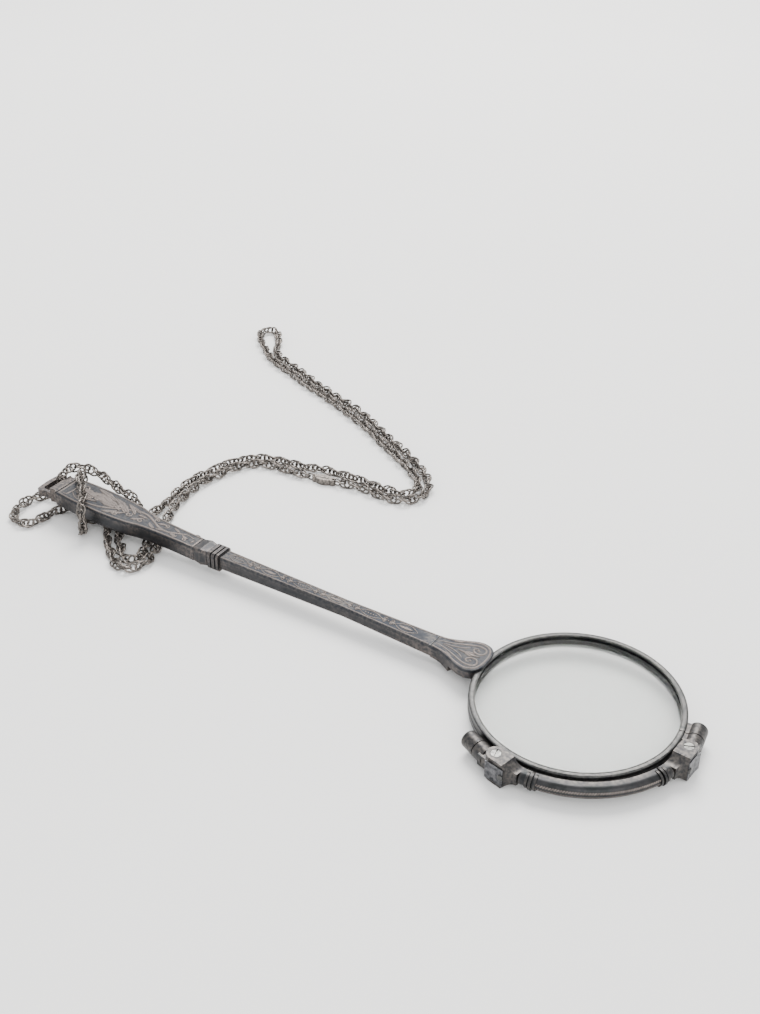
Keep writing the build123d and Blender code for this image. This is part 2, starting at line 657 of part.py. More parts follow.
# The chain's route from the clasp and back to it: across, and height. Two strands lie side by side.
CHAIN_ROUTE = [
    # from the clasp round the outside of the bend, then out to the far fold
    (-80.0, 41.8, LIE), (-75.4, 42.8, LIE), (-70.0, 42.1, LIE), (-64.5, 42.4, LIE), (-60.9, 46.3, LIE),
    (-61.6, 51.1, LIE), (-64.9, 54.9, LIE), (-69.6, 58.3, LIE), (-75.2, 61.6, LIE), (-81.3, 64.6, LIE),
    (-87.7, 68.6, LIE), (-94.3, 71.9, LIE), (-100.7, 74.4, LIE), (-107.2, 76.6, LIE), (-114.2, 79.3, LIE),
    (-120.7, 82.4, LIE), (-126.3, 84.3, LIE), (-131.0, 86.2, LIE), (-134.0, 89.1, LIE), (-135.4, 92.6, LIE),
    # far fold
    (-137.5, 95.1, LIE), (-139.2, 97.3, LIE), (-141.3, 98.8, LIE), (-143.8, 98.1, LIE), (-144.1, 95.4, LIE),
    (-142.3, 93.3, LIE), (-139.5, 90.3, LIE),
    # back along the inside of the bend and past the clasp to the handle
    (-136.0, 87.6, LIE), (-132.2, 84.3, LIE), (-127.2, 82.2, LIE), (-121.5, 80.1, LIE), (-115.0, 77.0, LIE),
    (-108.1, 74.9, LIE), (-101.5, 72.2, LIE), (-95.0, 69.3, LIE), (-88.7, 66.4, LIE), (-82.3, 62.4, LIE),
    (-76.1, 59.1, LIE), (-70.8, 56.1, LIE), (-66.4, 53.0, LIE), (-63.9, 50.0, LIE), (-63.6, 46.6, LIE),
    (-66.4, 44.9, LIE), (-70.6, 44.6, LIE), (-75.6, 45.2, LIE), (-81.3, 44.8, LIE), (-86.9, 44.3, LIE),
    (-92.3, 42.5, LIE), (-97.9, 42.3, LIE), (-103.0, 40.5, LIE), (-106.3, 36.1, LIE), (-108.0, 30.4, LIE),
    (-109.3, 24.6, LIE), (-108.8, 18.9, LIE), (-107.6, 13.3, LIE),
    # under the grip and out again in a doubled loop on the near side
    (-107.9, 8.4, LIE), (-105.6, 4.4, LIE), (-102.2, 1.2, LIE), (-99.8, -2.6, LIE), (-98.5, -6.0, LIE),
    (-99.6, -7.8, LIE), (-101.5, -8.1, LIE), (-104.3, -5.5, LIE), (-107.6, -3.0, LIE), (-109.6, 0.4, LIE),
    (-111.7, 3.8, LIE), (-115.2, 5.2, LIE), (-119.2, 4.2, LIE), (-122.6, 1.8, LIE), (-125.5, -0.9, LIE),
    # open loop beside the bail
    (-126.9, -4.6, LIE), (-126.4, -8.2, LIE), (-129.3, -10.5, LIE), (-132.8, -9.4, LIE), (-134.5, -6.1, LIE),
    (-134.6, -2.3, LIE), (-133.4, 1.1, LIE), (-131.1, 2.2, LIE),
    # up through the slot of the bail, over its far shoulder and down beside the grip
    (-128.1, 1.6, 2.4), (-128.0, 1.5, 8.6), (-127.2, 6.0, 8.8), (-123.8, 7.9, 7.7), (-120.0, 7.6, 6.7),
    (-116.4, 6.9, 6.1), (-113.0, 6.5, 5.5), (-110.8, 6.6, 4.6), (-110.2, 7.1, 2.3), (-112.2, 7.6, LIE),
    (-116.8, 7.8, LIE),
    (-121.0, 7.3, LIE), (-124.0, 5.8, 1.6), (-124.8, 5.0, 4.6), (-124.6, 4.7, 8.8),
    # across the face of the grip, down its near side and back beneath it
    (-122.2, 2.0, 9.0), (-118.9, -0.7, 8.9), (-116.0, -3.5, 8.8), (-114.5, -6.3, 8.0), (-113.8, -6.5, 4.2),
    (-114.9, -6.2, 1.2), (-117.1, -3.9, LIE), (-117.4, -1.0, LIE), (-115.9, 1.3, LIE), (-113.4, 1.1, LIE),
    (-112.2, -1.3, LIE), (-110.5, -3.3, LIE), (-108.2, -5.4, LIE), (-104.8, -8.1, LIE), (-101.3, -10.8, LIE), (-97.8, -10.5, LIE),
    (-95.9, -7.6, LIE), (-97.3, -3.0, LIE), (-99.1, 1.4, LIE), (-101.9, 5.0, LIE), (-104.0, 9.1, LIE),
    # up the outer side of the bend to the clasp
    (-105.5, 13.7, LIE), (-106.7, 19.1, LIE), (-107.1, 24.5, LIE), (-105.8, 29.9, LIE), (-104.2, 35.0, LIE),
    (-101.7, 38.4, LIE), (-97.5, 39.8, LIE), (-92.4, 39.4, LIE), (-88.6, 40.1, LIE)]


def bend_radii(points):
    """The largest even bend at each corner of a route: 0.45 of the shorter run over tan(half the turn)."""
    vectors = [Vector(*b) - Vector(*a) for a, b in zip(points, points[1:])]
    radii = []
    for before, after in zip(vectors, vectors[1:]):
        half_turn = radians(before.get_angle(after)) / 2
        radii.append(0.45 * min(before.length, after.length) / tan(half_turn))
    return radii


chain_points = [(LENS_X + x, LENS_Y + y, z) for x, y, z in CHAIN_ROUTE]
chain_radii = bend_radii(chain_points)
with BuildPart() as chain:
    with BuildLine() as chain_path:
        FilletPolyline(*chain_points, radius=chain_radii)
    with BuildSketch(Plane(origin=chain_path.line @ 0, z_dir=chain_path.line % 0)):
        Circle(CHAIN_D / 2)
    sweep(path=chain_path.line)
print("chain radii, mm:", [round(radius, 1) for radius in chain_radii])
chain_length = sum(edge.length for edge in chain_path.edges())
section_times_length = pi * (CHAIN_D / 2) ** 2 * chain_length
print("chain length, mm:", round(chain_length, 1))
print("chain volume:", round(chain.part.volume, 1), "section times length:", round(section_times_length, 1))
finish(chain, "chain")

# Box clasp: an almond body with a boss for the chain's end ring, and a sprung lever on its back.
CLASP_PLANE = Plane(
    origin=(LENS_X - 84.2, LENS_Y + 41.0, 0), x_dir=(cos(radians(10)), sin(radians(10)), 0), z_dir=(0, 0, 1))
CLASP_HALF = 2.5         # half-length and half-width of the almond
CLASP_SIDE = 1.15
CLASP_H = 1.5

with BuildPart() as clasp_body:
    with BuildSketch(CLASP_PLANE):
        with BuildLine():
            ThreePointArc((-CLASP_HALF, 0), (0, CLASP_SIDE), (CLASP_HALF, 0))
            ThreePointArc((CLASP_HALF, 0), (0, -CLASP_SIDE), (-CLASP_HALF, 0))
        make_face()
        with Locations((CLASP_HALF - 0.3, 0)):
            Circle(0.75)
        with Locations((-CLASP_HALF + 0.2, 0)):
            Circle(0.6)
    extrude(amount=CLASP_H)
    with BuildSketch(CLASP_PLANE.offset(CLASP_H - 0.5)):
        with Locations((-0.6, 0)):
            Rectangle(3.4, 0.7)
    extrude(amount=1, mode=Mode.SUBTRACT)
    with BuildSketch(CLASP_PLANE):
        with Locations((CLASP_HALF - 0.1, 0), (-CLASP_HALF + 0.05, 0)):
            Circle(0.28)
    extrude(amount=CLASP_H, mode=Mode.SUBTRACT)
finish(clasp_body, "clasp_body")

with BuildPart() as clasp_lever:
    with BuildSketch(CLASP_PLANE.offset(CLASP_H - 0.48)):
        with Locations((-0.6, 0)):
            Rectangle(3.3, 0.6)
    extrude(amount=0.55)
finish(clasp_lever, "clasp_lever")
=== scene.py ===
import json
import random
from math import cos, pi, radians, sin

import bpy
from mathutils import Matrix, Vector


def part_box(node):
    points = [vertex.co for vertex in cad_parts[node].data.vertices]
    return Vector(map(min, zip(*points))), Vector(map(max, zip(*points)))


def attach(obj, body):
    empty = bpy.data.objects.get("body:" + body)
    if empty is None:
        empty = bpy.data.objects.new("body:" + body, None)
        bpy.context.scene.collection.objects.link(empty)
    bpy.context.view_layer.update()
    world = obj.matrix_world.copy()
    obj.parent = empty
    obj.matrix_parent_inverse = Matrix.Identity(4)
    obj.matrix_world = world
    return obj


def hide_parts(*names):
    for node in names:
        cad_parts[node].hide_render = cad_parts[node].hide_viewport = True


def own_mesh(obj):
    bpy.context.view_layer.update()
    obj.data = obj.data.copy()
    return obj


# Folding lorgnette, lying closed on a table with its neck chain. Metres, in the row frame.
# Places along and across the handle are in millimetres from the lens axis, as in the CAD source.

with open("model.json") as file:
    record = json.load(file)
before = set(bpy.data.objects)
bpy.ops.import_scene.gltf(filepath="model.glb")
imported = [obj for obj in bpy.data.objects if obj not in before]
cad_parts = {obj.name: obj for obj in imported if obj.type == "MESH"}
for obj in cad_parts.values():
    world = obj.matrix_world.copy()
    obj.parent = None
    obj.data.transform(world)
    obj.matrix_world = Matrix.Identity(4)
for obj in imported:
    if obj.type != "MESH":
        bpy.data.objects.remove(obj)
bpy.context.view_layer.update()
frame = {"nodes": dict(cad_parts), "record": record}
MM = 0.001
lens_low, lens_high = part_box("upper_lens")
LENS_X = (lens_low.x + lens_high.x) / 2 / MM
LENS_Y = (lens_low.y + lens_high.y) / 2 / MM


def place(along, across, up):
    """A point of the row frame, in metres, from millimetres along and across the handle."""
    return Vector(((LENS_X + along) * MM, (LENS_Y + across) * MM, up * MM))


# ---- camera ---------------------------------------------------------------------------------
CAMERA_AT = (68.2, -169.8, 160.5)
CAMERA_FORWARD = Vector((-0.458, 0.705, -0.541)).normalized()
CAMERA_RIGHT = Vector((0.8387, 0.5446, 0)).normalized()
CAMERA_LENS = 46.81

camera_data = bpy.data.cameras.new("camera")
camera_data.lens = CAMERA_LENS
camera_data.sensor_width = 36
camera_data.clip_start = 0.005
camera_data.clip_end = 20
camera = bpy.data.objects.new("camera", camera_data)
bpy.context.scene.collection.objects.link(camera)
camera_up = CAMERA_RIGHT.cross(CAMERA_FORWARD).normalized()
turn = Matrix((CAMERA_RIGHT, camera_up, -CAMERA_FORWARD)).transposed()
camera.matrix_world = Matrix.Translation(place(*CAMERA_AT)) @ turn.to_4x4()
bpy.context.scene.camera = camera


# ---- mesh helpers -----------------------------------------------------------------------------
def make_object(name, vertices, faces, smooth=True):
    mesh = bpy.data.meshes.new(name)
    mesh.from_pydata([tuple(v) for v in vertices], [], faces)
    mesh.validate()
    mesh.update()
    if smooth:
        mesh.polygons.foreach_set("use_smooth", [True] * len(mesh.polygons))
    obj = bpy.data.objects.new(name, mesh)
    bpy.context.scene.collection.objects.link(obj)
    return obj


def add_closed_tube(vertices, faces, ring_points, wire_r, sides=6):
    """Adds a closed loop of wire through the given points."""
    count = len(ring_points)
    start = len(vertices)
    middle = sum(ring_points, Vector()) / count
    for i, point in enumerate(ring_points):
        tangent = (ring_points[(i + 1) % count] - ring_points[i - 1]).normalized()
        outward = point - middle
        outward = (outward - tangent * outward.dot(tangent)).normalized()
        across = tangent.cross(outward)
        for k in range(sides):
            a = 2 * pi * k / sides
            vertices.append(point + (outward * cos(a) + across * sin(a)) * wire_r)
    for i in range(count):
        for k in range(sides):
            i2, k2 = (i + 1) % count, (k + 1) % sides
            here, following = start + i * sides, start + i2 * sides
            faces.append((here + k, here + k2, following + k2, following + k))


# ---- neck chain, on the route of its CAD solid ----------------------------------------------
LIE = 0.97
CHAIN_ROUTE = [
    # from the clasp round the outside of the bend, then out to the far fold
    (-80.0, 41.8, LIE), (-75.4, 42.8, LIE), (-70.0, 42.1, LIE), (-64.5, 42.4, LIE), (-60.9, 46.3, LIE),
    (-61.6, 51.1, LIE), (-64.9, 54.9, LIE), (-69.6, 58.3, LIE), (-75.2, 61.6, LIE), (-81.3, 64.6, LIE),
    (-87.7, 68.6, LIE), (-94.3, 71.9, LIE), (-100.7, 74.4, LIE), (-107.2, 76.6, LIE), (-114.2, 79.3, LIE),
    (-120.7, 82.4, LIE), (-126.3, 84.3, LIE), (-131.0, 86.2, LIE), (-134.0, 89.1, LIE), (-135.4, 92.6, LIE),
    # far fold
    (-137.5, 95.1, LIE), (-139.2, 97.3, LIE), (-141.3, 98.8, LIE), (-143.8, 98.1, LIE), (-144.1, 95.4, LIE),
    (-142.3, 93.3, LIE), (-139.5, 90.3, LIE),
    # back along the inside of the bend and past the clasp to the handle
    (-136.0, 87.6, LIE), (-132.2, 84.3, LIE), (-127.2, 82.2, LIE), (-121.5, 80.1, LIE), (-115.0, 77.0, LIE),
    (-108.1, 74.9, LIE), (-101.5, 72.2, LIE), (-95.0, 69.3, LIE), (-88.7, 66.4, LIE), (-82.3, 62.4, LIE),
    (-76.1, 59.1, LIE), (-70.8, 56.1, LIE), (-66.4, 53.0, LIE), (-63.9, 50.0, LIE), (-63.6, 46.6, LIE),
    (-66.4, 44.9, LIE), (-70.6, 44.6, LIE), (-75.6, 45.2, LIE), (-81.3, 44.8, LIE), (-86.9, 44.3, LIE),
    (-92.3, 42.5, LIE), (-97.9, 42.3, LIE), (-103.0, 40.5, LIE), (-106.3, 36.1, LIE), (-108.0, 30.4, LIE),
    (-109.3, 24.6, LIE), (-108.8, 18.9, LIE), (-107.6, 13.3, LIE),
    # under the grip and out again in a doubled loop on the near side
    (-107.9, 8.4, LIE), (-105.6, 4.4, LIE), (-102.2, 1.2, LIE), (-99.8, -2.6, LIE), (-98.5, -6.0, LIE),
    (-99.6, -7.8, LIE), (-101.5, -8.1, LIE), (-104.3, -5.5, LIE), (-107.6, -3.0, LIE), (-109.6, 0.4, LIE),
    (-111.7, 3.8, LIE), (-115.2, 5.2, LIE), (-119.2, 4.2, LIE), (-122.6, 1.8, LIE), (-125.5, -0.9, LIE),
    # open loop beside the bail
    (-126.9, -4.6, LIE), (-126.4, -8.2, LIE), (-129.3, -10.5, LIE), (-132.8, -9.4, LIE), (-134.5, -6.1, LIE),
    (-134.6, -2.3, LIE), (-133.4, 1.1, LIE), (-131.1, 2.2, LIE),
    # up through the slot of the bail, over its far shoulder and down beside the grip
    (-128.1, 1.6, 2.4), (-128.0, 1.5, 8.6), (-127.2, 6.0, 8.8), (-123.8, 7.9, 7.7), (-120.0, 7.6, 6.7),
    (-116.4, 6.9, 6.1), (-113.0, 6.5, 5.5), (-110.8, 6.6, 4.6), (-110.2, 7.1, 2.3), (-112.2, 7.6, LIE),
    (-116.8, 7.8, LIE),
    (-121.0, 7.3, LIE), (-124.0, 5.8, 1.6), (-124.8, 5.0, 4.6), (-124.6, 4.7, 8.8),
    # across the face of the grip, down its near side and back beneath it
    (-122.2, 2.0, 9.0), (-118.9, -0.7, 8.9), (-116.0, -3.5, 8.8), (-114.5, -6.3, 8.0), (-113.8, -6.5, 4.2),
    (-114.9, -6.2, 1.2), (-117.1, -3.9, LIE), (-117.4, -1.0, LIE), (-115.9, 1.3, LIE), (-113.4, 1.1, LIE),
    (-112.2, -1.3, LIE), (-110.5, -3.3, LIE), (-108.2, -5.4, LIE), (-104.8, -8.1, LIE), (-101.3, -10.8, LIE),
    (-97.8, -10.5, LIE),
    (-95.9, -7.6, LIE), (-97.3, -3.0, LIE), (-99.1, 1.4, LIE), (-101.9, 5.0, LIE), (-104.0, 9.1, LIE),
    # up the outer side of the bend to the clasp
    (-105.5, 13.7, LIE), (-106.7, 19.1, LIE), (-107.1, 24.5, LIE), (-105.8, 29.9, LIE), (-104.2, 35.0, LIE),
    (-101.7, 38.4, LIE), (-97.5, 39.8, LIE), (-92.4, 39.4, LIE), (-88.6, 40.1, LIE)]


def spline_points(route):
    """Points along the route's smooth NURBS line, in metres."""
    curve = bpy.data.curves.new("route", "CURVE")
    curve.dimensions = "3D"
    curve.resolution_u = 10
    spline = curve.splines.new("NURBS")
    spline.points.add(len(route) - 1)
    for point, (x, y, z) in zip(spline.points, route):
        point.co = (*place(x, y, z), 1)
    spline.order_u = 3
    spline.use_endpoint_u = True
    holder = bpy.data.objects.new("route", curve)
    bpy.context.scene.collection.objects.link(holder)
    bpy.context.view_layer.update()
    line = bpy.data.meshes.new_from_object(holder.evaluated_get(bpy.context.evaluated_depsgraph_get()))
    points = [v.co.copy() for v in line.vertices]
    bpy.data.objects.remove(holder)
    return points


class Line:
    """A line of points that can be read at any distance along it, with a steady frame."""

    def __init__(self, points):
        self.points = points
        self.at = [0.0]
        for a, b in zip(points, points[1:]):
            self.at.append(self.at[-1] + (b - a).length)
        self.sides = []
        side = Vector((0, 0, 1)).cross(points[1] - points[0]).normalized()
        for i in range(len(points)):
            tangent = (points[min(i + 1, len(points) - 1)] - points[max(i - 1, 0)]).normalized()
            side = (side - tangent * side.dot(tangent)).normalized()
            self.sides.append(side.copy())
        self.length = self.at[-1]
        self.index = 0

    def read(self, distance):
        """Point, tangent and side at a distance; distances are asked for in growing order."""
        distance = min(max(distance, 0.0), self.length)
        while self.index < len(self.at) - 2 and self.at[self.index + 1] < distance:
            self.index += 1
        i = self.index
        share = (distance - self.at[i]) / max(self.at[i + 1] - self.at[i], 1e-9)
        point = self.points[i].lerp(self.points[i + 1], share)
        tangent = (self.points[i + 1] - self.points[i]).normalized()
        side = self.sides[i].lerp(self.sides[i + 1], share)
        side = (side - tangent * side.dot(tangent)).normalized()
        return point, tangent, side


LINK_PITCH = 1.05 * MM
LINK_HALF = 1.3 * MM         # half-length of a link, to the middle of its wire
LINK_SIDE = 0.95 * MM        # and its half-width
LINK_WIRE = 0.21 * MM
LINK_LIFT = 0.15 * MM        # on the table the links' middles are this much above the route
LINK_DROP = 0.5 * MM         # and on top of the grip this much below it
LINK_TILT = radians(24)      # a link leans across the chain
LINK_STEPS = 16
LINK_BOW = 0.16 * MM         # a link is bent out of its own plane by this much
LINK_STRAY = 0.16            # and lies up to this many millimetres off the line
LINK_ROLL = 0.3              # every second link is rolled the other way
ROLL_STRAY = 0.22
TWIST_LENGTH = 8.4 * MM      # the chain turns once over this length
TABLE_GAP = 0.00002

chain_points = spline_points(CHAIN_ROUTE)
chain_line = Line(chain_points)
rng = random.Random(7)
vertices, faces = [], []
distance = 0.0
link = 0
while distance <= chain_line.length:
    point, tangent, side = chain_line.read(distance)
    up = tangent.cross(side)
    roll = 2 * pi * distance / TWIST_LENGTH + (LINK_ROLL if link % 2 else -LINK_ROLL)
    roll += rng.uniform(-ROLL_STRAY, ROLL_STRAY)
    flat = side * cos(roll) + up * sin(roll)
    normal = tangent.cross(flat)
    raised = min(max((point.z / MM - 2) / 6, 0), 1)
    height = LINK_LIFT - (LINK_LIFT + LINK_DROP) * raised
    shift = flat * rng.uniform(-LINK_STRAY, LINK_STRAY) * MM + Vector((0, 0, height))
    wire = []
    for k in range(LINK_STEPS):
        t = 2 * pi * k / LINK_STEPS
        a = LINK_HALF * cos(t)
        b = LINK_SIDE * sin(t)
        along = a * cos(LINK_TILT) - b * sin(LINK_TILT)
        across = a * sin(LINK_TILT) * 0.5 + b
        across = max(-LINK_SIDE, min(LINK_SIDE, across))
        wire.append(point + shift + tangent * along + flat * across + normal * (LINK_BOW * sin(2 * t)))
    add_closed_tube(vertices, faces, wire, LINK_WIRE)
    distance += LINK_PITCH
    link += 1
for v in vertices:
    v.z = max(v.z, TABLE_GAP)
chain = make_object("chain_links", vertices, faces)


def make_ring_of_wire(name, centre, axis, radius, wire_r):
    """A small round ring of wire about an axis."""
    axis = Vector(axis).normalized()
    first = axis.orthogonal().normalized()
    second = axis.cross(first)
    points = [centre + (first * cos(2 * pi * k / 28) + second * sin(2 * pi * k / 28)) * radius for k in range(28)]
    ring_vertices, ring_faces = [], []
    add_closed_tube(ring_vertices, ring_faces, points, wire_r, 8)
    return make_object(name, ring_vertices, ring_faces)


right_ring = make_ring_of_wire("right_jump_ring", place(-80.9, 41.62, LIE), (0.2, -0.98, 0.05), 0.78 * MM, 0.15 * MM)
left_ring = make_ring_of_wire("left_jump_ring", place(-87.45, 40.4, LIE), (0.25, -0.96, -0.06), 0.78 * MM, 0.15 * MM)
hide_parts("chain")
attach(chain, "handle")
for piece in (right_ring, left_ring):
    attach(piece, "handle")


# ---- materials ------------------------------------------------------------------------------
def new_material(name):
    material = bpy.data.materials.new(name)
    material.use_nodes = True
    tree = material.node_tree
    shader = tree.nodes["Principled BSDF"]
    return material, tree, shader


def noise(tree, scale, detail=6.0, roughness=0.6, stretch=(1, 1, 1)):
    """Noise by place, the scale given in cycles per metre."""
    where = tree.nodes.new("ShaderNodeTexCoord")
    mapping = tree.nodes.new("ShaderNodeMapping")
    mapping.inputs["Scale"].default_value = stretch
    texture = tree.nodes.new("ShaderNodeTexNoise")
    texture.inputs["Scale"].default_value = scale
    texture.inputs["Detail"].default_value = detail
    texture.inputs["Roughness"].default_value = roughness
    tree.links.new(where.outputs["Object"], mapping.inputs["Vector"])
    tree.links.new(mapping.outputs["Vector"], texture.inputs["Vector"])
    return texture.outputs["Fac"]


def ramp(tree, source, stops):
    node = tree.nodes.new("ShaderNodeValToRGB")
    tree.links.new(source, node.inputs["Fac"])
    elements = node.color_ramp.elements
    while len(elements) < len(stops):
        elements.new(0.5)
    for element, (position, colour) in zip(elements, stops):
        element.position = position
        element.color = (*colour, 1)
    return node.outputs["Color"]


def ranged(tree, source, low, high):
    node = tree.nodes.new("ShaderNodeMapRange")
    node.inputs["To Min"].default_value = low
    node.inputs["To Max"].default_value = high
    tree.links.new(source, node.inputs["Value"])
    return node.outputs["Result"]


def mixed(tree, share, first, second):
    node = tree.nodes.new("ShaderNodeMix")
    node.data_type = "RGBA"
    tree.links.new(share, node.inputs["Factor"])
    tree.links.new(first, node.inputs[6])
    tree.links.new(second, node.inputs[7])
    return node.outputs[2]


def metal(name, dark, middle, edge_highlight, rough, metallic=0.9, bump=0.12, grain=2600, stretch=(1, 1, 1)):
    """Oxidised silver: blotched dark and mid tones, with a painted highlight on raised edges, finely scratched."""
    material, tree, shader = new_material(name)
    blotch = noise(tree, 420, 8, 0.65)
    base = ramp(tree, blotch, [(0.36, dark), (0.62, middle)])
    # Painted highlight: convex edges, found by pointiness, are mixed towards a lighter highlight tone.
    edge = tree.nodes.new("ShaderNodeNewGeometry").outputs["Pointiness"]
    edge_highlight_mask = tree.nodes.new("ShaderNodeMapRange")
    edge_highlight_mask.inputs["From Min"].default_value = 0.5
    edge_highlight_mask.inputs["From Max"].default_value = 0.6
    tree.links.new(edge, edge_highlight_mask.inputs["Value"])
    edge_highlight_tone = ramp(tree, noise(tree, 1700, 4, 0.5), [(0.35, middle), (0.65, edge_highlight)])
    colour = mixed(tree, edge_highlight_mask.outputs["Result"], base, edge_highlight_tone)
    tree.links.new(colour, shader.inputs["Base Color"])
    shader.inputs["Metallic"].default_value = metallic
    tree.links.new(ranged(tree, noise(tree, 900, 6, 0.7), rough - 0.1, rough + 0.12), shader.inputs["Roughness"])
    bump_node = tree.nodes.new("ShaderNodeBump")
    bump_node.inputs["Strength"].default_value = bump
    bump_node.inputs["Distance"].default_value = 0.0001
    tree.links.new(noise(tree, grain, 8, 0.7, stretch), bump_node.inputs["Height"])
    tree.links.new(bump_node.outputs["Normal"], shader.inputs["Normal"])
    return material


# Painted highlight: a light pinkish tone for the edges of oxidised_silver.
PINK_HIGHLIGHT = (0.14, 0.12, 0.11)
# The fourth colour given to each metal is its painted edge highlight.
materials = {
    "engraved_silver": metal("engraved_silver", (0.013, 0.015, 0.019), (0.027, 0.03, 0.037), (0.08, 0.076, 0.072), 0.5),
    "raised_silver": metal("raised_silver", (0.068, 0.059, 0.056), (0.116, 0.1, 0.093), (0.184, 0.16, 0.146), 0.42),
    "oxidised_silver": metal("oxidised_silver", (0.024, 0.026, 0.029), (0.042, 0.042, 0.045), PINK_HIGHLIGHT, 0.42),
    "rim_silver": metal("rim_silver", (0.021, 0.022, 0.024), (0.04, 0.041, 0.042), (0.112, 0.109, 0.104), 0.36),
    "bridge_silver": metal("bridge_silver", (0.016, 0.018, 0.019), (0.034, 0.034, 0.036), (0.096, 0.088, 0.082), 0.38),
    "screw_steel": metal("screw_steel", (0.04, 0.04, 0.04), (0.08, 0.08, 0.078), (0.208, 0.208, 0.2), 0.34,
                         stretch=(6, 1, 1)),
    "spring_steel": metal("spring_steel", (0.014, 0.015, 0.018), (0.029, 0.03, 0.034), (0.128, 0.128, 0.136), 0.35,
                          stretch=(1, 1, 5)),
    "release_steel": metal("release_steel", (0.048, 0.046, 0.046), (0.088, 0.084, 0.08), (0.176, 0.16, 0.152), 0.36),
    "chain_silver": metal("chain_silver", (0.026, 0.026, 0.027), (0.066, 0.062, 0.058), (0.24, 0.212, 0.192), 0.33)}

# The glass's tint, IOR and alpha are matched to the brightness of the lens in the photo; real glass has about 1.5.
glass, glass_tree, glass_shader = new_material("lens_glass")
glass_shader.inputs["Base Color"].default_value = (0.7, 0.735, 0.71, 1)
glass_shader.inputs["Transmission Weight"].default_value = 1.0
glass_shader.inputs["IOR"].default_value = 1.14
glass_shader.inputs["Alpha"].default_value = 0.2
glass_rough = ramp(glass_tree, noise(glass_tree, 160, 8, 0.7), [(0.45, (0.0, 0.0, 0.0)), (0.75, (0.06, 0.06, 0.06))])
glass_tree.links.new(glass_rough, glass_shader.inputs["Roughness"])
materials["lens_glass"] = glass

slots = {entry["node"]: entry["material_slot"] for entry in frame["record"]["subparts"]}
for node_name, node in frame["nodes"].items():
    node.data.materials.clear()
    node.data.materials.append(materials[slots[node_name]])


def dress(piece, body, material):
    piece.data.materials.append(materials[material])
    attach(piece, body)


for piece in (chain, right_ring, left_ring):
    piece.data.materials.append(materials["chain_silver"])


# ---- engraving: raised silver lines and leaves on the darker face ----------------------------------
GRIP_X = -87.0
GRIP_TOP = 5.45
GRIP_SLOPE = 0.0447
GRIP_END = 37.5
SHAFT = [(-83.6, 3.45, 5.3), (-80.3, 3.45, 5.3), (-50.0, 2.85, 4.93), (-29.6, 3.9, 4.6)]
GRIP_HALF = [(0, 2.1), (5, 2.15), (10.9, 2.35), (14.5, 2.7), (17.5, 3.35), (20.3, 3.7),
             (24, 3.95), (27.8, 4.05), (33, 3.95), (37.5, 3.6)]
SUNK = 0.03              # the relief's foot lies this far under the face


def between(table, x):
    """Straight-line reading of a table of (x, value) pairs."""
    rows = sorted(table)
    x = min(max(x, rows[0][0]), rows[-1][0])
    for (x0, y0), (x1, y1) in zip(rows, rows[1:]):
        if x <= x1:
            return y0 + (y1 - y0) * (x - x0) / (x1 - x0)
    return rows[-1][1]


def on_face(along, across, up):
    """A point above the handle's face, wherever along the handle it is."""
    if along < GRIP_X:
        top = GRIP_TOP + GRIP_SLOPE * (GRIP_X - along)
    else:
        top = between([(x, z) for x, w, z in SHAFT], along)
    return place(along, across, top + up)


